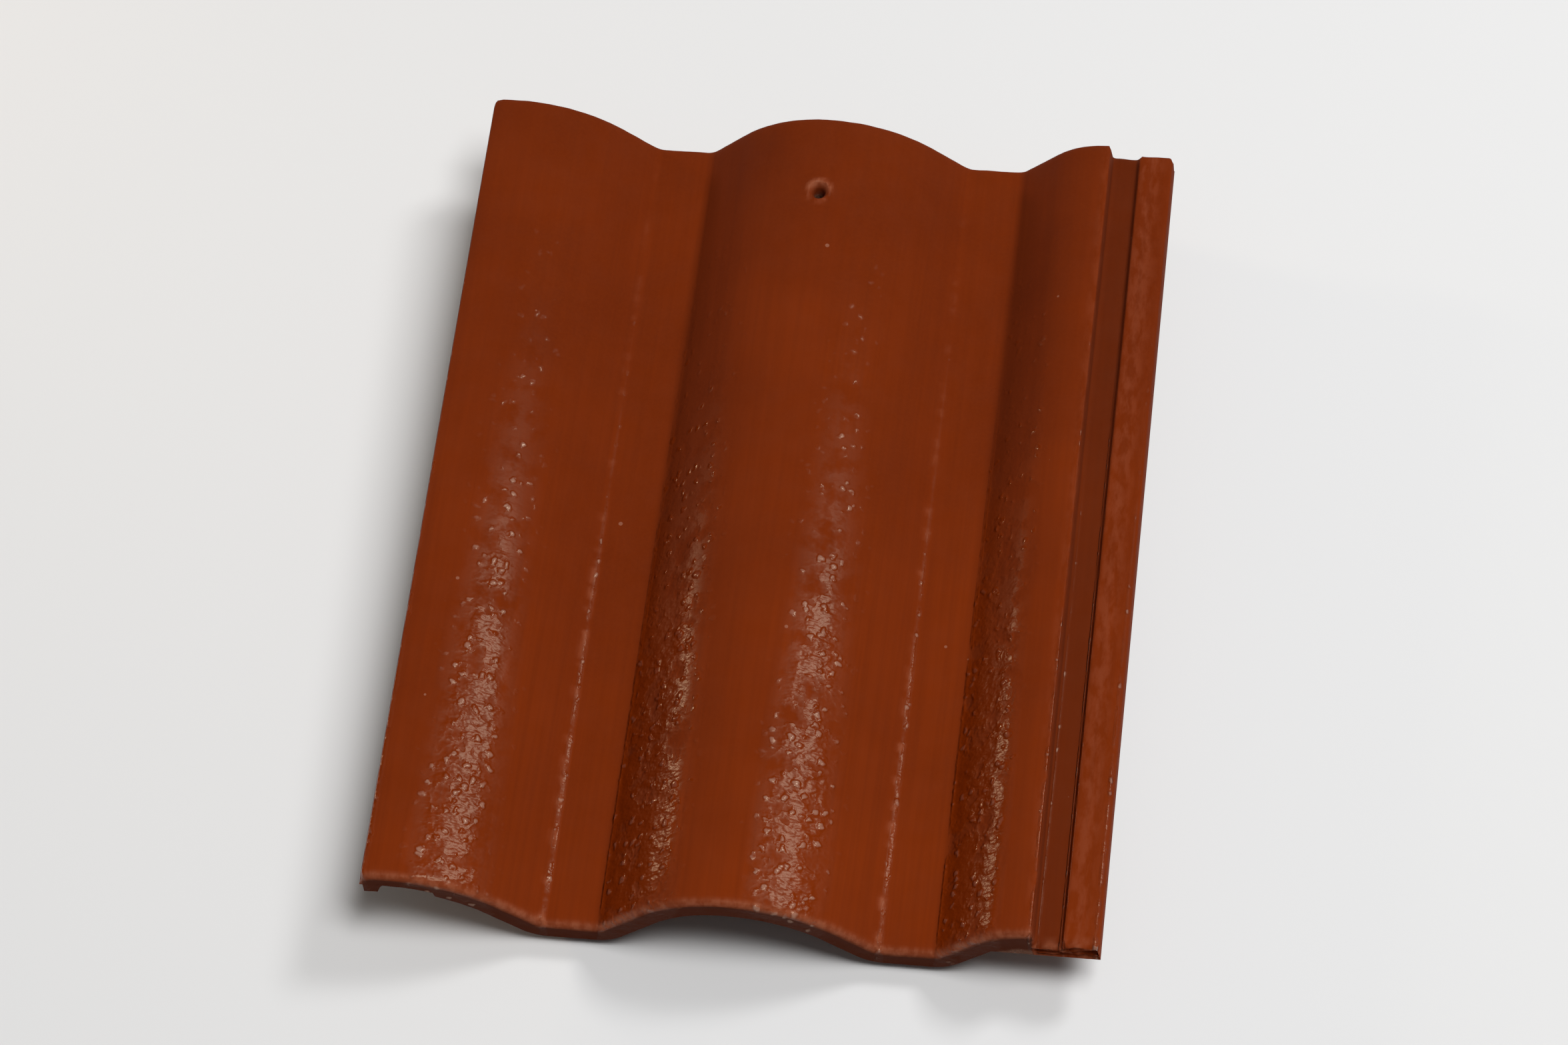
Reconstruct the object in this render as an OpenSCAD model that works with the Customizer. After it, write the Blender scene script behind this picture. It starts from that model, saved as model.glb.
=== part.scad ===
// Double-roll interlocking concrete roof tile, cast in one piece.
// X runs across the roof from the cover edge to the side lock, Y runs up the roof from the
// tail to the head. The tile is drawn level, with Z = 0 at the underside of its pans, and is
// then tipped onto its weather bars and nibs, as it lies on a level floor.

/* [Body] */
// Length from tail to head
tile_l = 420; // [360:1:460]
// Width that one tile covers, from joint to joint
cover_w = 300; // [290:1:340]
// Thickness of the concrete
body_t = 12; // [9:0.5:15]
// Height of the rolls above the pans
roll_h = 34; // [28:1:40]
// Radius of the rounded top edge at the tail
nose_r = 4; // [1:0.5:4]
// Radius of the rounded cover edge
edge_r = 4.5; // [4.5:0.5:6]

/* [Rolls] */
// Width of each pan
pan_w = 25; // [15:1:35]
// Distance from a roll's left foot to its crest
crest_from_foot = 58; // [50:1:62]
// Distance from the cover edge to the crest of the cover roll
cover_crest_x = 12; // [8:1:16]
// Slope of the sides that face the cover edge, in degrees
left_slope = 45; // [40:1:50]
// Slope of the sides that face the lock, in degrees
right_slope = 42; // [38:1:45]
// Radius where a roll meets a pan
foot_r = 6; // [2:0.5:10]

/* [Side lock] */
// Width of the lock that the next tile covers
lock_w = 27; // [26:1:40]
// How far the lock side stops below the crest of the cover
lock_drop = 7; // [4:0.5:10]
// Gap left beside the next tile's cover edge
joint_gap = 3; // [1:0.5:5]
// Depth of the groove below the lock side's top
groove_d = 10; // [8:0.5:13]
// Width of the groove's floor
groove_w = 9; // [8:0.5:14]
// Height of the outer rib above the groove's floor
rib_h = 3; // [1:0.5:5]
// Radius of the rib's outer edge
rib_r = 3; // [1:0.5:4]
// Slant of the groove's walls
draft = 1.5; // [0.5:0.5:3]
// Thickness of the concrete below the groove
lock_t = 9; // [7:0.5:11]

/* [Cover] */
// Thickness of the cover lip above the next tile's lock
lip_t = 9; // [6:0.5:9]
// Width of the lip's tongue, which hangs in the next tile's groove
tongue_w = 6; // [4:0.5:7]
// Clearance between the tongue and the groove's floor
tongue_fit = 1.5; // [1:0.5:3]
// Gap between the next tile's rib and the full thickness
recess_gap = 6; // [3:0.5:10]

/* [Underside] */
// Depth of the hanging nibs below the pans
nib_d = 14; // [10:1:18]
// Width of each nib
nib_w = 28; // [16:1:36]
// Length of each nib along the roof
nib_l = 16; // [10:1:24]
// Slant of the nib's back
nib_draft = 3; // [0:0.5:5]
// Depth of the weather bars below the pans
bar_d = 5; // [5:0.5:7]
// Width of each weather bar
bar_w = 8; // [5:1:12]
// Distance from the tail to the first weather bar
bar_y = 14; // [8:1:30]
// Distance between the weather bars
bar_pitch = 24; // [18:1:40]

/* [Nail hole] */
// Diameter of the nail hole
nail_d = 5.5; // [4:0.5:8]
// Distance from the head to the nail hole
nail_y = 42; // [24:1:60]

/* [Hidden] */

// Curves are cut into short straight steps.
curve_steps = 10;
fillet_steps = 5;
nose_steps = 4;
// Small overlap that fuses what is added below the body.
embed = 1;

top_z = body_t + roll_h;
pitch = cover_w / 2;
fall = pitch - pan_w - crest_from_foot;
left_r = (crest_from_foot - roll_h / tan(left_slope)) / tan(left_slope / 2);
right_r = (fall - roll_h / tan(right_slope)) / tan(right_slope / 2);
mid_crest_x = cover_crest_x + pitch;

overall_w = cover_w + lock_w;
flank_x = cover_w - joint_gap;
flank_z = top_z - lock_drop;
flank_foot_x = cover_crest_x + pitch + fall + pan_w;
flank_r = (flank_x - flank_foot_x - (flank_z - body_t) / tan(left_slope)) / tan(left_slope / 2);
groove_z = flank_z - groove_d;
groove_x = flank_x + 2 * draft;
rib_x = groove_x + groove_w;
rib_z = groove_z + rib_h;
lock_z = groove_z - lock_t;

// The cover lip reaches over the next tile's lock, which starts one cover width further on.
tongue_x = (groove_x + rib_x - tongue_w) / 2 - cover_w;
tongue_z = groove_z + tongue_fit;
recess_x = lock_w + recess_gap;

// The tile lies on the tail side of its first weather bar and of its nibs.
rest_span = tile_l - nib_l - bar_y;
rest_tilt = atan((nib_d - bar_d) / rest_span);
rest_z = bar_d * cos(rest_tilt) - bar_y * sin(rest_tilt);
rest_y = (tile_l * cos(rest_tilt) - (top_z - nose_r) * sin(rest_tilt)) / 2;

function arc(x, z, r, from, to, steps) =
    [for (i = [0 : steps]) let (a = from + (to - from) * i / steps) [x + r * cos(a), z + r * sin(a)]];

// The same without its last point, for an arc that the next one carries on.
function open_arc(x, z, r, from, to, steps) =
    [for (i = [0 : steps - 1]) let (a = from + (to - from) * i / steps) [x + r * cos(a), z + r * sin(a)]];

function reversed(path) = [for (i = [len(path) - 1 : -1 : 0]) path[i]];

// Each of these follows the top surface at a depth below it, from left to right.
function shoulder_left(x, depth) =
    open_arc(x, top_z - left_r, left_r - depth, 90 + left_slope, 90, curve_steps);

function shoulder_right(x, depth) =
    arc(x, top_z - right_r, right_r - depth, 90, 90 - right_slope, curve_steps);

function pan(foot_x, depth) =
    concat(
        arc(foot_x + foot_r * tan(right_slope / 2), body_t + foot_r, foot_r + depth,
            270 - right_slope, 270, fillet_steps),
        arc(foot_x + pan_w - foot_r * tan(left_slope / 2), body_t + foot_r, foot_r + depth,
            270, 270 + left_slope, fillet_steps));

// From the first pan to the foot of the lock side, with the middle roll between the pans.
function field(depth) =
    concat(
        pan(cover_crest_x + fall, depth),
        shoulder_left(mid_crest_x, depth),
        shoulder_right(mid_crest_x, depth),
        pan(mid_crest_x + fall, depth));

// The rounded cover edge runs smoothly into the shoulder of the cover roll.
function cover_edge(depth) =
    let (
        edge_z = top_z - left_r + sqrt(pow(left_r - edge_r, 2) - pow(cover_crest_x - edge_r, 2)),
        meet = atan2(edge_z - top_z + left_r, edge_r - cover_crest_x))
    concat(
        open_arc(edge_r, edge_z, edge_r - depth, 180, meet, fillet_steps),
        open_arc(cover_crest_x, top_z - left_r, left_r - depth, meet, 90, 2));

function flank(depth) =
    arc(flank_x, flank_z - flank_r, flank_r - depth, 90 + left_slope, 90, curve_steps);

function lock() =
    concat(
        [[flank_x + draft, groove_z + draft],
         [groove_x, groove_z],
         [rib_x, groove_z],
         [rib_x + draft, rib_z]],
        arc(overall_w - rib_r, rib_z - rib_r, rib_r, 90, 0, fillet_steps),
        [[overall_w, lock_z],
         [cover_crest_x + pitch + fall + pan_w + body_t * tan(left_slope / 2) + lock_z / tan(left_slope),
          lock_z]]);

// Height of the cover roll, down its shoulder and then its slope, at a distance from its crest.
function cover_z(reach, depth) =
    let (
        r = right_r - depth,
        turn = min(asin(min(reach / r, 1)), right_slope))
    top_z - right_r + r * cos(turn) - (reach - r * sin(turn)) * tan(right_slope);

function cover_side(depth, from_x, to_x) =
    [for (i = [0 : curve_steps - 1])
        let (x = from_x + (to_x - from_x) * i / curve_steps)
        [x, cover_z(x - cover_crest_x, depth)]];

// From the end of the recess to the foot of the lock side, where the tile has its full thickness.
function full_body(depth) =
    let (
        foot_x = cover_crest_x + fall + foot_r * tan(right_slope / 2),
        slope_end = foot_x - (foot_r + depth) * sin(right_slope))
    concat(cover_side(depth, recess_x, slope_end), field(depth));

function lip_underside() =
    let (lip_z = top_z - lip_t)
    concat(
        [[recess_x, cover_z(recess_x - cover_crest_x, lip_t)]],
        reversed(cover_side(lip_t, cover_crest_x, recess_x)),
        [[tongue_x + tongue_w, lip_z],
         [tongue_x + tongue_w, tongue_z],
         [tongue_x, tongue_z],
         [tongue_x, lip_z],
         [0, lip_z]]);

// Cross-section of the tile, with its top surface lowered by a depth.
function section(depth) =
    concat(
        cover_edge(depth),
        shoulder_right(cover_crest_x, depth),
        field(depth),
        flank(depth),
        lock(),
        reversed(full_body(body_t)),
        lip_underside());

// Stands a cross-section up, so that it runs from one Y to another.
module along_roof(from_y, to_y) {
    translate([0, to_y, 0]) rotate([90, 0, 0]) linear_extrude(to_y - from_y) children();
}

// The tail's top edge is rounded in short steps, each cut from the body's own outline.
module nose() {
    for (i = [0 : nose_steps - 1])
        let (
            near = nose_r * i / nose_steps,
            far = nose_r * (i + 1) / nose_steps,
            reach = nose_r - (near + far) / 2)
        along_roof(near, far) polygon(section(nose_r - sqrt(pow(nose_r, 2) - pow(reach, 2))));
}

// The lower side of each bar has the shape of the tile that it lies on.
module weather_bars() {
    seat = [for (p = full_body(0)) [p[0], p[1] - body_t - bar_d]];
    for (i = [0 : 1])
        along_roof(bar_y + i * bar_pitch, bar_y + i * bar_pitch + bar_w)
            polygon(concat(full_body(body_t - embed), reversed(seat)));
}

module nibs() {
    for (foot_x = [cover_crest_x + fall, mid_crest_x + fall])
        translate([foot_x + pan_w / 2 - nib_w / 2, tile_l, 0])
            rotate([90, 0, 90])
                linear_extrude(nib_w)
                    polygon([[-nib_l, embed], [-nib_l, -nib_d], [-nib_draft, -nib_d], [0, 0], [0, embed]]);
}

module nail_hole() {
    translate([mid_crest_x, tile_l - nail_y, top_z - 2 * body_t])
        cylinder(d = nail_d, h = 3 * body_t, $fn = 48);
}

module roof_tile() {
    color([0.40, 0.14, 0.04])
        translate([-overall_w / 2, -rest_y, rest_z])
            rotate([rest_tilt, 0, 0])
                difference() {
                    union() {
                        nose();
                        along_roof(nose_r, tile_l) polygon(section(0));
                        weather_bars();
                        nibs();
                    }
                    nail_hole();
                }
}

roof_tile();
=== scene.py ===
import math

import bmesh
import bpy
import numpy as np
from mathutils import Matrix, Vector, noise


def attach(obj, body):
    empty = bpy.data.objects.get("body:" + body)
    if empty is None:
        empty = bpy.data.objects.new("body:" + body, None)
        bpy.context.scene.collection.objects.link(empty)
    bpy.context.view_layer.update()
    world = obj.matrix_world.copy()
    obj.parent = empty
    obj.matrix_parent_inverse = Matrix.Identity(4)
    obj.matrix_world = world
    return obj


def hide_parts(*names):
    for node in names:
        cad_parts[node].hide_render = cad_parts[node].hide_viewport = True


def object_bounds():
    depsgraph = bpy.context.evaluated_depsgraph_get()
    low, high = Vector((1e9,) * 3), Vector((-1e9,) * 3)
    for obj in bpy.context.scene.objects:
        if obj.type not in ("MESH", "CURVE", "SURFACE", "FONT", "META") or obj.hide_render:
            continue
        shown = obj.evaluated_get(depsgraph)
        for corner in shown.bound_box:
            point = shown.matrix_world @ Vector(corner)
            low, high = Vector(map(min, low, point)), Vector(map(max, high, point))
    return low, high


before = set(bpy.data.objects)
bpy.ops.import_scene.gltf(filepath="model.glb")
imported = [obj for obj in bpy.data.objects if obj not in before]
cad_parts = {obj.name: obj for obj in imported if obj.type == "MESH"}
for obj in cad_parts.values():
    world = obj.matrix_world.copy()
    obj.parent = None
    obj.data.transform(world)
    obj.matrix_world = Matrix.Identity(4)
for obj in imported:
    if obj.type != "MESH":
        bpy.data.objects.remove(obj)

# A double-roll interlocking concrete roof tile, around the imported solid. Its coat is dull where
# it is smooth, and glossy where it is beaded, wet-looking or worn.
# The tile is drawn level, in millimetres, with X across the roof, Y from tail to head and
# Z = 0 at the underside of its pans. It is then tipped onto its weather bars and nibs.

cad_low, cad_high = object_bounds()
MM = 0.001
TINY = 1e-6

# Body and rolls
TILE_L = 420
TILE_W = 327
COVER_W = 300
BODY_T = 12
TOP_Z = 46
PAN_W = 25
CREST_FROM_FOOT = 58
COVER_CREST_X = 12
LEFT_SLOPE = math.radians(45)
RIGHT_SLOPE = math.radians(42)
FOOT_R = 6
EDGE_R = 4.5
EDGE_DROP = 1.25
EDGE_BLEND_R = 20
NOSE_R = 4

# Side lock
FLANK_X = 297
FLANK_Z = 39
FLANK_ROUNDING = 0.9
DRAFT = 1.5
GROOVE_Z = 29
RIB_X = 309
RIB_Z = 32
RIB_R = 3
BROKEN_L = 5
LOCK_Z = 20
LOCK_FOOT_GAP = 8
WORN_R = 1.5

# Cover lip
LIP_T = 9
TONGUE_X = 1.5
TONGUE_W = 6
TONGUE_Z = 30.5
RECESS_X = 33

# Underside
NIB_D, NIB_W, NIB_L, NIB_DRAFT = 14, 28, 16, 3
NIB_EMBED = 2
NIB_HEAD_GAP = 0.3
NIB_EDGE_R = 1.6
BARS = 2
BAR_D, BAR_W, BAR_Y, BAR_PITCH = 5, 8, 14, 24
BAR_SLANT = 0.8

# Nail hole
NAIL_R = 2.75
NAIL_Y = 42
NAIL_SIDES = 32
RIM_R = 5.5
RIM_W = 1.8

# The small blister on the middle roll's right shoulder
BLISTER_X, BLISTER_Y, BLISTER_R, BLISTER_H = 188, 136, 2.4, 0.75

# The smooth tile lies this far inside the solid, which leaves room for the relief.
SKIN = 0.45

# The drips run down a line this far left of a pan's foot.
DRIP_SHIFT = 0.5

# Depths below the top between which the coat gives way to bare concrete, and the same at the tail
COAT_EDGE = (2.5, 9)
TAIL_COAT_EDGE = (12, 18)

# What counts as the top, as the edge of the lock side, and as a long side, for the finish
NEAR_TOP = 4
FLANK_EDGE_W = 4
SIDE_SKIN = 1

# Mesh: points across the tile, points through it, and the step along the roof
ACROSS = 215
THROUGH = 7
STEP_Y = 2.1
NOSE_STEPS = 6
SHARP_ANGLE = math.radians(38)

PITCH = COVER_W / 2
FALL = PITCH - PAN_W - CREST_FROM_FOOT
ROLL_H = TOP_Z - BODY_T
MID_CREST_X = COVER_CREST_X + PITCH
PAN_FEET = [COVER_CREST_X + FALL, MID_CREST_X + FALL]
FLANK_FOOT_X = PAN_FEET[1] + PAN_W
NAIL_FROM_TAIL = TILE_L - NAIL_Y


# ---------------------------------------------------------------- outlines

def rounded(corners, step=0.25):
    """Points along a line whose corners (x, z, radius) are rounded."""
    path = [np.array(corners[0][:2], float)]
    for (x0, z0, _), (x1, z1, radius), (x2, z2, _) in zip(corners, corners[1:], corners[2:]):
        here = np.array([x1, z1], float)
        back = np.array([x0, z0]) - here
        ahead = np.array([x2, z2]) - here
        back, ahead = back / np.linalg.norm(back), ahead / np.linalg.norm(ahead)
        turn = math.pi - math.acos(np.clip(back @ ahead, -1, 1))
        if radius == 0 or turn < TINY:
            path.append(here)
            continue
        start = here + back * radius * math.tan(turn / 2)
        centre = here + (back + ahead) / np.linalg.norm(back + ahead) * radius / math.cos(turn / 2)
        first = start - centre
        side = math.copysign(1, back[0] * ahead[1] - back[1] * ahead[0])
        steps = max(3, math.ceil(radius * turn / step))
        for a in np.linspace(0, -side * turn, steps + 1):
            c, s = math.cos(a), math.sin(a)
            path.append(centre + [c * first[0] - s * first[1], s * first[0] + c * first[1]])
    path.append(np.array(corners[-1][:2], float))
    path = np.array(path)
    apart = np.linalg.norm(np.diff(path, axis=0), axis=1) > TINY
    return path[np.concatenate([[True], apart])]


def lengths(path):
    """How far along a line each of its points is."""
    return np.concatenate([[0], np.cumsum(np.linalg.norm(np.diff(path, axis=0), axis=1))])


def spread(path, count, keep=()):
    """The same line as count points, evenly apart, with the points at the indices in keep kept."""
    far = lengths(path)
    at = np.linspace(0, far[-1], count)
    for k in keep:
        at[np.argmin(abs(at - far[k]))] = far[k]
    return np.column_stack([np.interp(at, far, path[:, 0]), np.interp(at, far, path[:, 1])])


def top_corners():
    """The top of the tile, from the cover edge to the outside of the lock."""
    cover_right = COVER_CREST_X + FALL - ROLL_H / math.tan(RIGHT_SLOPE)
    mid_left = PAN_FEET[0] + PAN_W + ROLL_H / math.tan(LEFT_SLOPE)
    left_r = (MID_CREST_X - mid_left) / math.tan(LEFT_SLOPE / 2)
    right_r = (cover_right - COVER_CREST_X) / math.tan(RIGHT_SLOPE / 2)
    flank_left = FLANK_FOOT_X + (FLANK_Z - BODY_T) / math.tan(LEFT_SLOPE)
    flank_r = (FLANK_X - flank_left) / math.tan(LEFT_SLOPE / 2)
    edge_z = TOP_Z - EDGE_DROP
    return [
        (0, edge_z - EDGE_R, 0),
        (0, edge_z, EDGE_R),
        (COVER_CREST_X / 2, TOP_Z, EDGE_BLEND_R),
        (cover_right, TOP_Z, right_r),
        (PAN_FEET[0], BODY_T, FOOT_R),
        (PAN_FEET[0] + PAN_W, BODY_T, FOOT_R),
        (mid_left, TOP_Z, left_r),
        (cover_right + PITCH, TOP_Z, right_r),
        (PAN_FEET[1], BODY_T, FOOT_R),
        (FLANK_FOOT_X, BODY_T, FOOT_R),
        (flank_left, FLANK_Z, flank_r * FLANK_ROUNDING),
        (FLANK_X, FLANK_Z, WORN_R),
        (FLANK_X + DRAFT, GROOVE_Z, WORN_R),
        (RIB_X, GROOVE_Z, WORN_R),
        (RIB_X + DRAFT, RIB_Z, WORN_R),
        (TILE_W, RIB_Z, RIB_R),
        (TILE_W, RIB_Z - RIB_R, 0),
    ]


class Outline:
    """The tile's cross-section: points on top, the way out of each, and the point below each."""

    def __init__(self):
        line = rounded(top_corners())
        out = np.gradient(line, axis=0)
        out = np.column_stack([-out[:, 1], out[:, 0]])
        out /= np.linalg.norm(out, axis=1)[:, None]
        # Even steps half way through the body leave neither face with long ones.
        far = lengths(line - out * BODY_T / 2)
        at = np.linspace(0, far[-1], ACROSS)
        self.top = np.column_stack([np.interp(at, far, line[:, k]) for k in (0, 1)])
        out = np.column_stack([np.interp(at, far, out[:, k]) for k in (0, 1)])
        self.out = out / np.linalg.norm(out, axis=1)[:, None]
        self.far = lengths(self.top)
        self.low = self.top - self.out * BODY_T
        self.lip_end = int(np.argmax(self.low[:, 0] > RECESS_X))
        past_foot = self.low[:, 0] > FLANK_FOOT_X + LOCK_FOOT_GAP
        self.lock_start = int(np.argmax(past_foot & (self.low[:, 1] > LOCK_Z)))
        self.set_lip()
        self.set_lock()

    def set_lip(self):
        """The underside of the cover lip: its hook, and then the arch as thick as the lip."""
        lip_z = TOP_Z - LIP_T
        arch = (self.top - self.out * LIP_T)[: self.lip_end]
        arch = arch[arch[:, 0] > COVER_CREST_X]
        hook = np.array([
            (0, lip_z),
            (TONGUE_X, lip_z),
            (TONGUE_X, TONGUE_Z),
            (TONGUE_X + TONGUE_W, TONGUE_Z),
            (TONGUE_X + TONGUE_W, lip_z),
            (COVER_CREST_X, lip_z),
        ])
        path = np.vstack([hook, arch])
        self.low[: self.lip_end] = spread(path, self.lip_end, keep=range(len(hook)))

    def set_lock(self):
        """The flat underside of the lock."""
        start = self.low[self.lock_start - 1, 0]
        count = ACROSS - self.lock_start
        xs = np.linspace(start, TILE_W, count + 1)[1:]
        self.low[self.lock_start:] = np.column_stack([xs, np.full(count, LOCK_Z)])


def bar_walls(i):
    """Where along the roof a weather bar starts, is full, is full for the last time, and ends."""
    near = BAR_Y + i * BAR_PITCH
    return [near, near + BAR_SLANT, near + BAR_W - BAR_SLANT, near + BAR_W]


def stations():
    """Places along the roof: close together round the nose, and one on each side of each wall."""
    turns = np.linspace(0, math.pi / 2, NOSE_STEPS + 1)
    nose = NOSE_R * (1 - np.cos(turns))
    plain = np.linspace(NOSE_R, TILE_L, round((TILE_L - NOSE_R) / STEP_Y) + 1)[1:]
    walls = [y for i in range(BARS) for y in bar_walls(i)]
    clear = [y for y in plain if min(abs(y - w) for w in walls) > BAR_SLANT]
    return np.array(sorted([*nose, *walls, *clear]))


# ---------------------------------------------------------------- relief
# Heights are in millimetres. Each layer is a height times a noise, and the divisors are the
# lengths of its waves in millimetres.

def waves(a, b, seed):
    """Smooth noise from -1 to 1 at arrays of places. Each seed gives a pattern of its own."""
    a, b = np.broadcast_arrays(a, b)
    lane = 17.3 * seed
    flat = [noise.noise(Vector((x, y, lane))) for x, y in zip(a.ravel(), b.ravel())]
    return np.array(flat).reshape(a.shape)


def hump(value, centre, width):
    """1 at the centre, falling to 0 on both sides."""
    return np.exp(-((value - centre) / width) ** 2)


def toward_tail(y):
    """1 at the tail, falling to about 0.2 at the head."""
    return np.clip(1.1 - y / TILE_L, 0, 1) ** 0.7


def bead_band(lean):
    """Where on a roll beads can stand: on its right shoulder and its lower left side."""
    return np.clip(hump(lean, 0.34, 0.23) + 0.95 * hump(lean, -0.62, 0.24), 0, 1)


def beading(lean, y):
    """How beaded the coat is: more and more toward the tail."""
    return bead_band(lean) * (0.05 + 0.95 * toward_tail(y) ** 1.9)


def nail_rim(x, y):
    """The raised ring that the nail hole's pin leaves, highest on the head side."""
    dx, dy = x - MID_CREST_X, y - NAIL_FROM_TAIL
    ring = np.hypot(dx, dy)
    return hump(ring, RIM_R, RIM_W) * (0.50 + 0.50 * np.clip(dy / RIM_R, -0.8, 1))


def drips(far, y):
    """The chain of drips along the right foot of a roll: 0 between drips, 1 on them."""
    return np.clip(3.0 * waves(far / 30, y / 4.6, 5) - 0.15, 0, 1)


def feet_line(x, width):
    """1 on the lines down which the drips run, beside each pan's foot."""
    return sum(hump(x, foot_x - DRIP_SHIFT, width) for foot_x in PAN_FEET)


def blister(x, y):
    """Height of the small blister."""
    return BLISTER_H * hump(np.hypot(x - BLISTER_X, y - BLISTER_Y), 0, BLISTER_R)


def top_relief(line, ys):
    """Height of the relief above the section. Most of it is below 0, because of the skin."""
    far, y = line.far[:, None], ys[None, :]
    x, lean = line.top[:, 0, None], line.out[:, 0, None]
    swell = 0.20 * waves(far / 65, y / 120, 1)
    drag = 0.05 * waves(far / 3.2, y / 150, 2)
    grain = 0.05 * waves(far / 5, y / 5, 3)
    ripple = 0.10 * beading(lean, y) * waves(far / 15, y / 5.5, 4)
    ridge = 0.60 * feet_line(x, 1.3) * drips(far, y) * (0.1 + 0.9 * toward_tail(y))
    rough_rib = np.clip((x - RIB_X) / 3, 0, 1) * 0.16 * waves(far / 2.4, y / 60, 6)
    return swell + drag + grain + ripple + ridge + rough_rib + nail_rim(x, y) + blister(x, y) - SKIN


# ---------------------------------------------------------------- tile

def at_broken_end(y):
    """1 at the tail, falling to 0 where the lock's broken end stops."""
    return np.clip(1 - y / BROKEN_L, 0, 1)


def lock_chips(x, y):
    """How far the lock's end at the tail is broken away, downward from its top."""
    crumbs = 0.9 + 1.6 * waves(x / 4, y / 3, 12) + 0.8 * waves(x / 1.7, y / 1.5, 13)
    return np.clip(crumbs, 0, 2.4) * np.clip((x - FLANK_X) / 2, 0, 1) * at_broken_end(y) ** 1.5


def top_sheet(line, ys):
    """The grid of the top, in level millimetres, rounded at the tail and a little at the head."""
    turn = np.clip(1 - ys / NOSE_R, 0, 1)
    nose = NOSE_R * (1 - np.sqrt(1 - turn ** 2))
    worn = 1 + 0.22 * waves(line.far / 11, line.far * 0, 8)
    body = np.where(line.top[:, 0] < FLANK_X, worn, 0.35)
    head = 0.9 * np.clip(1 - (TILE_L - ys) / 1.5, 0, 1)
    down = body[:, None] * nose[None, :] + head[None, :] + lock_chips(line.top[:, 0, None], ys)
    rise = top_relief(line, ys) - down
    top = np.empty((ACROSS, len(ys), 3))
    top[:, :, 0] = np.clip(line.top[:, 0, None] + line.out[:, 0, None] * rise, 0, TILE_W)
    top[:, :, 1] = ys
    top[:, :, 2] = line.top[:, 1, None] + line.out[:, 1, None] * rise
    return top


def low_sheet(line, ys):
    """The grid of the underside, in level millimetres, with the weather bars hanging from it."""
    far = line.far[:, None]
    cast = 0.15 + 0.25 * waves(far / 30, ys / 45, 9) + 0.15 * waves(far / 4, ys / 4, 10)
    low = np.empty((ACROSS, len(ys), 3))
    low[:, :, 0] = line.low[:, 0, None]
    low[:, :, 1] = ys
    low[:, :, 2] = line.low[:, 1, None] + np.clip(cast, 0, 1)
    full = slice(line.lip_end, line.lock_start)
    seat = np.interp(line.low[:, 0], line.top[full, 0], line.top[full, 1]) - BODY_T - BAR_D
    for i in range(BARS):
        depth = np.interp(ys, bar_walls(i), [0, 1, 1, 0])
        low[full, :, 2] += depth * (seat - line.low[:, 1])[full, None]
    return low


def roughen_ends(block):
    """Gives the cut ends their rough face, which is broken in layers at the lock."""
    inside = np.sin(np.linspace(0.12, 0.92, THROUGH) * math.pi)
    for end, inward in ((0, 1), (-1, -1)):
        x, z = block[:, end, :, 0], block[:, end, :, 2]
        coarse = 0.35 * waves(x / 5, z / 4, 11 + inward)
        fine = 0.2 * waves(x / 2.2, z / 2, 14 + inward)
        ledges = 0.4 + 1.5 * (np.arange(THROUGH) % 2) + 1.3 * waves(x / 5, z / 1.5, 17 + inward)
        lock = np.clip((x - FLANK_X) / 3, 0, 1)
        block[:, end, :, 1] += inward * np.clip(0.30 + coarse + fine + lock * ledges, 0, 3.5) * inside


def closed_mesh(name, block):
    """A mesh of the six sides of a block of points."""
    outer = np.zeros(block.shape[:3], bool)
    outer[[0, -1]] = outer[:, [0, -1]] = outer[:, :, [0, -1]] = True
    index = np.full(block.shape[:3], -1)
    index[outer] = np.arange(outer.sum())
    sides = [
        index[:, :, 0], index[::-1, :, -1],
        index[0], index[-1, ::-1],
        index[::-1, 0], index[:, -1],
    ]
    quads = [
        np.stack([g[:-1, :-1], g[1:, :-1], g[1:, 1:], g[:-1, 1:]], -1).reshape(-1, 4)
        for g in sides
    ]
    mesh = bpy.data.meshes.new(name)
    mesh.from_pydata(block[outer], [], np.vstack(quads).tolist())
    return mesh


def placed(name, data):
    """Puts an object of a mesh, lamp or camera in the scene."""
    thing = bpy.data.objects.new(name, data)
    bpy.context.scene.collection.objects.link(thing)
    return thing


def combine(body, tool, operation):
    """Adds a piece to the body, or cuts it out."""
    step = body.modifiers.new(operation, "BOOLEAN")
    step.operation, step.solver, step.object = operation, "MANIFOLD", tool
    ready = body.evaluated_get(bpy.context.evaluated_depsgraph_get())
    made = bpy.data.meshes.new_from_object(ready)
    made.materials.clear()
    body.modifiers.clear()
    body.data = made
    bpy.data.objects.remove(tool)


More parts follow.
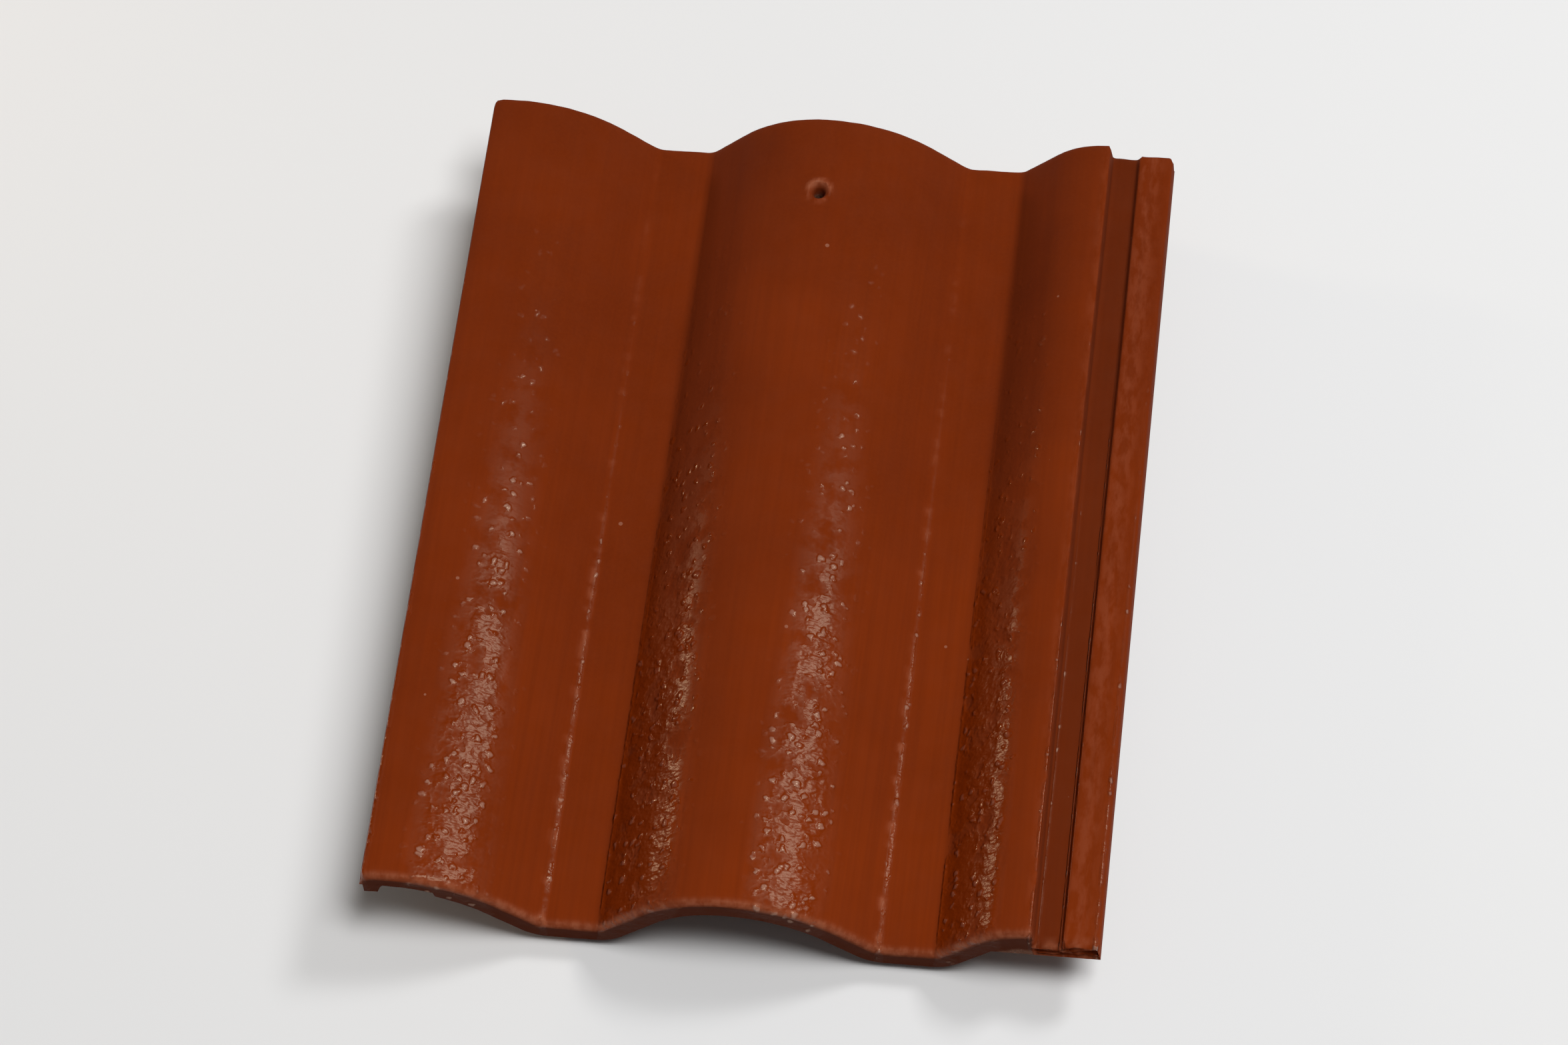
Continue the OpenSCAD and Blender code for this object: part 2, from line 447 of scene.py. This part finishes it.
def nib(foot_x):
    """A hanging nib under a pan, with rounded edges and a sloping back."""
    shape = bmesh.new()
    middle = foot_x + PAN_W / 2
    side = [
        (-NIB_L, NIB_EMBED), (-NIB_L, -NIB_D), (-NIB_DRAFT, -NIB_D),
        (-NIB_HEAD_GAP, 0), (-NIB_HEAD_GAP, NIB_EMBED),
    ]
    rings = [[shape.verts.new((x, TILE_L + y, z)) for y, z in side]
             for x in (middle - NIB_W / 2, middle + NIB_W / 2)]
    shape.faces.new(rings[0])
    shape.faces.new(rings[1][::-1])
    for k in range(len(side)):
        a, b = k, (k + 1) % len(side)
        shape.faces.new([rings[0][b], rings[0][a], rings[1][a], rings[1][b]])
    bmesh.ops.recalc_face_normals(shape, faces=shape.faces)
    hanging = [e for e in shape.edges if min(v.co.z for v in e.verts) < 0]
    bmesh.ops.bevel(shape, geom=hanging, offset=NIB_EDGE_R, segments=4, profile=0.5, affect="EDGES")
    mesh = bpy.data.meshes.new("nib")
    shape.to_mesh(mesh)
    shape.free()
    return placed("nib", mesh)


def nail_cutter():
    """The nail hole, flaring into a shallow dish at the top."""
    crest = TOP_Z - SKIN
    profile = [
        (NAIL_R, crest - 2 * BODY_T), (NAIL_R, crest - 2.2), (NAIL_R + 0.7, crest - 1.1),
        (RIM_R - 1.2, crest - 0.2), (RIM_R, crest + 0.8), (RIM_R, crest + 4),
    ]
    shape = bmesh.new()
    turns = [2 * math.pi * k / NAIL_SIDES for k in range(NAIL_SIDES)]
    rings = [
        [shape.verts.new((radius * math.cos(t), radius * math.sin(t), z)) for t in turns]
        for radius, z in profile
    ]
    for below, above in zip(rings, rings[1:]):
        for k in range(NAIL_SIDES):
            a, b = k, (k + 1) % NAIL_SIDES
            shape.faces.new([below[a], below[b], above[b], above[a]])
    shape.faces.new(rings[0][::-1])
    shape.faces.new(rings[-1])
    bmesh.ops.translate(shape, vec=(MID_CREST_X, NAIL_FROM_TAIL, 0), verts=shape.verts)
    mesh = bpy.data.meshes.new("nail_cutter")
    shape.to_mesh(mesh)
    shape.free()
    return placed("nail_cutter", mesh)


def split_many_sided(mesh):
    """Cuts up the many-sided faces that the nibs and the nail hole left.

    Without this, four edges of the exported triangles join four faces and not two.
    """
    shape = bmesh.new()
    shape.from_mesh(mesh)
    many_sided = [face for face in shape.faces if len(face.verts) > 4]
    bmesh.ops.triangulate(shape, faces=many_sided, ngon_method="BEAUTY")
    shape.to_mesh(mesh)
    shape.free()


def seat_on_floor(points):
    """Tips level points in millimetres onto the weather bars and nibs, in metres."""
    tilt = math.atan((NIB_D - BAR_D) / (TILE_L - NIB_L - BAR_Y))
    c, s = math.cos(tilt), math.sin(tilt)
    shift = np.array([
        -TILE_W / 2,
        -(TILE_L * c - (TOP_Z - NOSE_R) * s) / 2,
        BAR_D * c - BAR_Y * s,
    ])
    x, y, z = points.T
    return (np.column_stack([x, y * c - z * s, y * s + z * c]) + shift) * MM


def smooth_step(value, low, high):
    """0 up to low and 1 from high, with a soft rise between them."""
    t = np.clip((value - low) / (high - low), 0, 1)
    return t * t * (3 - 2 * t)


def mark(mesh, name, values):
    """Stores a value for each point, which the material reads by its name."""
    layer = mesh.attributes.new(name, "FLOAT", "POINT")
    layer.data.foreach_set("value", np.asarray(values, np.float32))


def depth_below_top(line, x, z):
    """How deep points lie: square to the rolls, and straight down at the lock."""
    upright = np.interp(x, line.top[:, 0], line.out[:, 1])
    depth = np.interp(x, line.top[:, 0], line.top[:, 1]) - z
    depth = np.where(x < FLANK_X - FLANK_EDGE_W, depth * np.clip(upright, 0.5, 1), depth)
    # The spray reaches further down the two long sides.
    on_side = (x < SIDE_SKIN) | (x > TILE_W - SIDE_SKIN)
    return np.where(on_side, depth * 0.4, depth)


def mark_finish(mesh, line, points):
    """Says where the coat is bare, beaded or worn, and where highlights and shade are painted on it,
    for the material.
    """
    x, y, z = points.T
    lean = np.interp(x, line.top[:, 0], line.out[:, 0])
    depth = depth_below_top(line, x, z)
    on_top = depth < NEAR_TOP

    at_tail = np.clip(1.5 - y / 4, 0, 1)
    bare = smooth_step(depth, *COAT_EDGE) * (1 - at_tail)
    bare_tail = smooth_step(depth, *TAIL_COAT_EDGE) * at_tail
    mark(mesh, "bare", bare + bare_tail)
    mark(mesh, "beaded", beading(lean, y))
    # Where the beads' tops get a painted highlight: fully on the right shoulders and less on the left
    # sides
    mark(mesh, "bead_highlights", beading(lean, y) * np.where(lean > 0, 1, 0.3))

    # Painted highlights on rims: the tail's top edge, the broken end of the lock, the nail hole's head
    # side and the drips
    nose = hump(y, 1.2, 1.5) * on_top * (x < FLANK_X)
    broken = at_broken_end(y) * (x > FLANK_X) * (depth < BODY_T)
    crumbly = np.clip(0.4 + 2.5 * waves(x / 2.5, z / 1.2, 15), 0, 1)
    feet = feet_line(x, 1.4) * toward_tail(y) ** 2
    feet = feet * drips(np.interp(x, line.top[:, 0], line.far), y) * on_top
    from_hole = y - NAIL_FROM_TAIL
    ring = np.hypot(x - MID_CREST_X, from_hole)
    crescent = hump(ring, RIM_R - 0.5, 1.5) * np.clip(0.2 + from_hole / RIM_R, 0, 1) * on_top
    mark(mesh, "rim_highlight", np.clip(nose + 1.2 * broken * crumbly + 1.6 * crescent + 0.8 * feet, 0, 1))

    # Wear, and in part a painted highlight: paler on the tail's top edge, the drips, the nail hole's
    # ring, the lock side's top and the rib
    edges = 0.4 * hump(x, FLANK_X - WORN_R, 2.2) + 0.7 * hump(x, RIB_X + 7, 6)
    mark(mesh, "worn", np.clip((nose + edges + feet + hump(ring, RIM_R, 1.2)) * on_top, 0, 1))

    # Painted shade: darker in the groove of the lock and on the face of the tail, where shade falls
    past_flank = smooth_step(x, FLANK_X, FLANK_X + 2)
    groove = past_flank * (1 - smooth_step(x, RIB_X, RIB_X + 2)) * on_top
    below_edge = smooth_step(depth, COAT_EDGE[0], NEAR_TOP)
    face = np.clip(2 - y / 2, 0, 1) * below_edge * np.where(x < FLANK_X, 1, 0.3)
    mark(mesh, "painted_shade", np.clip(0.5 * groove + face, 0, 1))


def build_tile():
    """The whole tile as one closed mesh, on the floor."""
    line = Outline()
    ys = stations()
    top, low = top_sheet(line, ys), low_sheet(line, ys)
    part = np.linspace(0, 1, THROUGH)[:, None]
    block = top[:, :, None] * (1 - part) + low[:, :, None] * part
    roughen_ends(block)
    tile = placed("tile_body", closed_mesh("tile_body", block))
    for foot_x in PAN_FEET:
        combine(tile, nib(foot_x), "UNION")
    combine(tile, nail_cutter(), "DIFFERENCE")
    mesh = tile.data
    split_many_sided(mesh)
    points = np.empty(len(mesh.vertices) * 3)
    mesh.vertices.foreach_get("co", points)
    points = points.reshape(-1, 3)
    mark_finish(mesh, line, points)
    mesh.vertices.foreach_set("co", seat_on_floor(points).ravel())
    mesh.update()
    mesh.polygons.foreach_set("use_smooth", [True] * len(mesh.polygons))
    mesh.set_sharp_from_angle(angle=SHARP_ANGLE)
    return tile


# ---------------------------------------------------------------- material

# Colours, in linear light
COAT_DARK = (0.128, 0.0142, 0.0004, 1)
COAT_LIGHT = (0.205, 0.0252, 0.0008, 1)
COAT_LINES = (0.122, 0.0142, 0.0004, 1)
COAT_MOTTLE = (0.190, 0.0244, 0.0010, 1)
COAT_SPECKS = (0.36, 0.16, 0.10, 1)
# Pale wear, partly a painted highlight along the tail's top edge, the lock side's top edge and the
# drips
PALE_WEAR_AND_HIGHLIGHT = (0.30, 0.070, 0.028, 1)
# Painted shade for the lock's groove and the tail's face
PAINTED_SHADE = (0.070, 0.0100, 0.0016, 1)
# Painted highlight on the rims
RIM_HIGHLIGHT = (0.34, 0.105, 0.050, 1)
# Painted highlight on the beads' tops
BEAD_HIGHLIGHT = (0.48, 0.30, 0.22, 1)
CONCRETE_DARK = (0.090, 0.034, 0.020, 1)
CONCRETE_LIGHT = (0.200, 0.085, 0.052, 1)
PALE_SAND = (0.34, 0.23, 0.18, 1)

# Roughness and specular reflection
WET_ROUGH = 0.26
BEAD_ROUGH = 0.14
GROOVE_AND_FACE_ROUGH = 0.8
CONCRETE_ROUGH = 0.88
SPECULAR = 0.20
SPECULAR_TINT = (1.0, 0.84, 0.62, 1)

# Heights of the finest relief, in millimetres
PEEL_H = 0.03
GRIT_H = 0.012
BEAD_H = 0.42
CURL_H = 0.85
SAND_H = 0.5

# Beads to the metre, and how far their uneven shapes wander, in metres
BEADS = 165
BEAD_WANDER = 0.004


class Nodes:
    """Adds nodes to a material and joins them up."""

    def __init__(self, name):
        self.material = bpy.data.materials.new(name)
        self.material.use_nodes = True
        self.tree = self.material.node_tree
        self.shader = self.tree.nodes["Principled BSDF"]

    def add(self, kind, out=0, settings=None, **inputs):
        """Adds a node, feeds the inputs that are given by name, and returns one of its outputs."""
        made = self.tree.nodes.new(kind)
        for key, value in (settings or {}).items():
            setattr(made, key, value)
        for key, value in inputs.items():
            self.feed(made.inputs[key.replace("_", " ")], value)
        return made.outputs[out]

    def feed(self, socket, value):
        """Links a socket to another node's output, or sets it to a plain value."""
        if isinstance(value, bpy.types.NodeSocket):
            self.tree.links.new(value, socket)
        else:
            socket.default_value = value

    def math(self, operation, a, b=0.0, clamp=False):
        made = self.tree.nodes.new("ShaderNodeMath")
        made.operation, made.use_clamp = operation, clamp
        self.feed(made.inputs[0], a)
        self.feed(made.inputs[1], b)
        return made.outputs[0]

    def plus(self, first, *others):
        for other in others:
            first = self.math("ADD", first, other)
        return first

    def times(self, first, *others):
        for other in others:
            first = self.math("MULTIPLY", first, other)
        return first

    def vectors(self, operation, a, b):
        made = self.tree.nodes.new("ShaderNodeVectorMath")
        made.operation = operation
        self.feed(made.inputs[0], a)
        self.feed(made.inputs[1], b)
        return made.outputs[0]

    def blend(self, factor, a, b):
        return self.add("ShaderNodeMix", Factor=factor, A=a, B=b)

    def mix(self, factor, a, b):
        """Mixes two colours, where blend mixes two numbers. Sockets 6, 7 and 2 are the colour ones."""
        made = self.tree.nodes.new("ShaderNodeMix")
        made.data_type = "RGBA"
        self.feed(made.inputs[0], factor)
        self.feed(made.inputs[6], a)
        self.feed(made.inputs[7], b)
        return made.outputs[2]

    def between(self, value, low, high, to_low=0.0, to_high=1.0, shape="LINEAR"):
        """Carries a value from one range over to another, and no further."""
        return self.add(
            "ShaderNodeMapRange", settings={"interpolation_type": shape},
            Value=value, From_Min=low, From_Max=high, To_Min=to_low, To_Max=to_high)

    def noise(self, place, scale, detail=2.0, rough=0.5):
        return self.add("ShaderNodeTexNoise", Vector=place, Scale=scale, Detail=detail, Roughness=rough)

    def cells(self, place, scale):
        """Distance to the nearest of many scattered points."""
        return self.add("ShaderNodeTexVoronoi", Vector=place, Scale=scale, Randomness=1)

    def stretched(self, place, x, y, z):
        return self.add("ShaderNodeMapping", Vector=place, Scale=(x, y, z))

    def attribute(self, name):
        return self.add("ShaderNodeAttribute", out=2, settings={"attribute_name": name})


def plain_coat(n, place):
    """Brown-red, uneven in large clouds and in fine lines along the roof, with a few pale specks."""
    tailward = n.between(n.add("ShaderNodeSeparateXYZ", out=1, Vector=place), 0.20, -0.20)
    clouds = n.between(n.noise(place, 16, 3), 0.3, 0.7, 0.0, 0.5)
    coat = n.mix(n.plus(clouds, n.times(tailward, 0.5)), COAT_DARK, COAT_LIGHT)
    lines = n.between(n.noise(n.stretched(place, 420, 5, 420), 1, 2), 0.35, 0.75, 0.0, 0.35)
    coat = n.mix(lines, coat, COAT_LINES)
    mottle = n.between(n.noise(place, 620, 3, 0.6), 0.35, 0.7, 0.0, 0.25)
    coat = n.mix(mottle, coat, COAT_MOTTLE)
    speck_size = n.between(n.noise(place, 33, 0), 0.48, 0.72, 0.0, 0.055)
    speck = n.math("LESS_THAN", n.cells(place, 55), speck_size)
    return n.mix(n.times(speck, 0.5), coat, COAT_SPECKS)


def aged_coat(n, place, coat, marks):
    """Paler in patches where the coat is worn, which also paints highlights on some edges, darker with
    painted shade in the lock's groove and on the tail's face, and lighter with painted highlights at
    its rims.
    """
    patchy = n.between(n.noise(n.stretched(place, 260, 90, 260), 1, 3, 0.6), 0.42, 0.62)
    coat = n.mix(n.times(marks["worn"], patchy, 0.45), coat, PALE_WEAR_AND_HIGHLIGHT)
    coat = n.mix(marks["painted_shade"], coat, PAINTED_SHADE)
    return n.mix(n.times(marks["rim_highlight"], n.between(patchy, 0, 1, 0.25, 0.55)), coat, RIM_HIGHLIGHT)


def beads_and_wet(n, place, beaded):
    """Beads of uneven shape, which stand in groups, and the wet-looking patches among them."""
    wander = n.add("ShaderNodeTexNoise", out=1, Vector=place, Scale=240, Detail=1)
    uneven = n.vectors("ADD", place, n.vectors("MULTIPLY", wander, (BEAD_WANDER,) * 3))
    beads = n.between(n.cells(uneven, BEADS), 0.42, 0.06, shape="SMOOTHSTEP")
    crowded = n.plus(n.noise(place, 75, 3, 0.6), n.times(beaded, 0.13))
    wet = n.times(n.between(crowded, 0.42, 0.58), n.between(beaded, 0.25, 0.65))
    groups = n.times(n.between(beaded, 0.10, 0.55), n.between(crowded, 0.445, 0.56))
    return n.math("MULTIPLY", beads, groups, clamp=True), wet


def painted_bead_highlights(n, beads, wet, bead_highlights):
    """How strongly a painted highlight lightens the beads' tops, most on the right shoulders, and less
    in the wet-looking patches.
    """
    tops = n.times(n.between(beads, 0.35, 0.85, 0.0, 0.60), n.between(bead_highlights, 0.10, 0.55))
    return n.times(tops, n.between(wet, 0.2, 1.0, 1.0, 0.65))


def concrete_colour(n, place, grains):
    """The same pigment, duller, with dark and light grains and a little pale sand."""
    concrete = n.mix(n.between(grains, 0.3, 0.7), CONCRETE_DARK, CONCRETE_LIGHT)
    sand = n.math("LESS_THAN", n.cells(place, 420), 0.22)
    return n.mix(n.times(sand, 0.35), concrete, PALE_SAND)


def roughness(n, place, beads, wet, concrete_shows, marks):
    """The coat is dull where it is smooth, and glossy where it is wet-looking, beaded or worn."""
    dull = n.between(n.noise(place, 90, 2), 0.3, 0.7, 0.90, 1.0)
    shine = n.math("MAXIMUM", wet, n.between(marks["worn"], 0.65, 1.0, 0.0, 0.9))
    coat = n.blend(shine, dull, WET_ROUGH)
    coat = n.blend(n.between(beads, 0.10, 0.45), coat, BEAD_ROUGH)
    coat = n.math("MAXIMUM", coat, n.times(marks["painted_shade"], GROOVE_AND_FACE_ROUGH))
    return n.blend(concrete_shows, coat, CONCRETE_ROUGH)


def fine_relief(n, place, beads, wet, grains, concrete_shows):
    """Height in millimetres: orange peel, grit, beads and curls in the coat, grains in the concrete."""
    peel = n.times(n.noise(place, 420, 2), PEEL_H)
    grit = n.times(n.noise(place, 1000, 2, 0.6), GRIT_H)
    curls = n.times(n.noise(n.stretched(place, 130, 205, 175), 1, 2, 0.55), wet, CURL_H)
    coat = n.plus(peel, grit, n.times(beads, BEAD_H), curls)
    return n.blend(concrete_shows, coat, n.times(grains, SAND_H))


def coated_concrete():
    """Bare concrete below, and the coat above with its wear, its wet-looking patches and its beads."""
    n = Nodes("satin_coat")
    # Output 3 is the tile's own coordinates, in metres.
    place = n.add("ShaderNodeTexCoord", out=3)
    names = ("bare", "beaded", "bead_highlights", "worn", "painted_shade", "rim_highlight")
    marks = {name: n.attribute(name) for name in names}
    grains = n.noise(place, 900, 4, 0.7)
    beads, wet = beads_and_wet(n, place, marks["beaded"])
    ragged = n.between(n.noise(place, 180, 4, 0.6), 0.3, 0.7, -0.25, 0.25)
    concrete_shows = n.between(n.plus(marks["bare"], ragged), 0.35, 0.75)

    coat = aged_coat(n, place, plain_coat(n, place), marks)
    # Painted highlights on the beads' tops
    coat = n.mix(painted_bead_highlights(n, beads, wet, marks["bead_highlights"]), coat, BEAD_HIGHLIGHT)
    colour = n.mix(concrete_shows, coat, concrete_colour(n, place, grains))
    rough = roughness(n, place, beads, wet, concrete_shows, marks)
    height = fine_relief(n, place, beads, wet, grains, concrete_shows)
    bump = n.add("ShaderNodeBump", Height=height, Strength=1, Distance=MM)
    n.feed(n.shader.inputs["Base Color"], colour)
    n.feed(n.shader.inputs["Roughness"], rough)
    n.feed(n.shader.inputs["Normal"], bump)
    n.shader.inputs["Specular IOR Level"].default_value = SPECULAR
    n.shader.inputs["Specular Tint"].default_value = SPECULAR_TINT
    return n.material


tile = build_tile()
tile.data.materials.append(coated_concrete())
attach(tile, "root")
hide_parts("roof_tile")


# ---------------------------------------------------------------- floor, light and camera

FLOOR_HALF = 6
FLOOR_GREY = 0.80
WORLD_STRENGTH = 0.10
LAMP_TARGET = (0, 0, 0.03)

CAMERA_FAR = 2.443
CAMERA_AZIMUTH = math.radians(11.2)
CAMERA_ELEVATION = math.radians(57.5)
CAMERA_ROLL = math.radians(-5.4)
LENS = 122
SENSOR_W = 36


def pale_floor():
    corners = [(x * FLOOR_HALF, y * FLOOR_HALF, 0) for x, y in ((-1, -1), (1, -1), (1, 1), (-1, 1))]
    mesh = bpy.data.meshes.new("floor")
    mesh.from_pydata(corners, [], [(0, 1, 2, 3)])
    paint = bpy.data.materials.new("floor")
    paint.use_nodes = True
    shader = paint.node_tree.nodes["Principled BSDF"]
    shader.inputs["Base Color"].default_value = (FLOOR_GREY, FLOOR_GREY, FLOOR_GREY, 1)
    shader.inputs["Roughness"].default_value = 0.9
    shader.inputs["Specular IOR Level"].default_value = 0.0
    mesh.materials.append(paint)
    return placed("floor", mesh)


def dim_world():
    world = bpy.data.worlds.new("studio")
    world.use_nodes = True
    background = world.node_tree.nodes["Background"]
    background.inputs["Color"].default_value = (1, 1, 1, 1)
    background.inputs["Strength"].default_value = WORLD_STRENGTH
    bpy.context.scene.world = world


def area_light(name, place, side, power, spread=180, tint=(1, 1, 1)):
    """A square lamp, aimed at the tile."""
    data = bpy.data.lights.new(name, "AREA")
    data.shape = "RECTANGLE"
    data.size = data.size_y = side
    data.energy = power
    data.color = tint
    data.spread = math.radians(spread)
    lamp = placed(name, data)
    lamp.location = place
    lamp.rotation_mode = "QUATERNION"
    lamp.rotation_quaternion = (Vector(LAMP_TARGET) - Vector(place)).to_track_quat("-Z", "Y")


def add_camera():
    """Looks at the middle of the tile from the photo's angle."""
    centre = (cad_low + cad_high) / 2
    back = Vector((
        math.sin(CAMERA_AZIMUTH) * math.cos(CAMERA_ELEVATION),
        -math.cos(CAMERA_AZIMUTH) * math.cos(CAMERA_ELEVATION),
        math.sin(CAMERA_ELEVATION),
    ))
    camera = placed("camera", bpy.data.cameras.new("camera"))
    camera.data.lens = LENS
    camera.data.sensor_width = SENSOR_W
    camera.data.clip_start = 0.05
    camera.location = centre + back * CAMERA_FAR
    camera.rotation_mode = "QUATERNION"
    roll = Matrix.Rotation(CAMERA_ROLL, 4, "Z").to_quaternion()
    camera.rotation_quaternion = (-back).to_track_quat("-Z", "Y") @ roll
    bpy.context.scene.camera = camera


floor = pale_floor()
dim_world()
area_light("key", (1.7, -0.75, 5.6), 2.4, 243)
# Two small lamps make the glare on the beads: one on the right shoulders, and a warm one on the
# left sides, whose narrow beam leaves no bright pool on the floor.
area_light("shoulder_glow", (1.57, 1.4, 2.48), 0.75, 33)
area_light("side_glow", (-1.1, 0.55, 0.36), 0.15, 0.55, spread=90, tint=(1, 0.80, 0.58))
add_camera()
bpy.context.scene.view_settings.view_transform = "Standard"
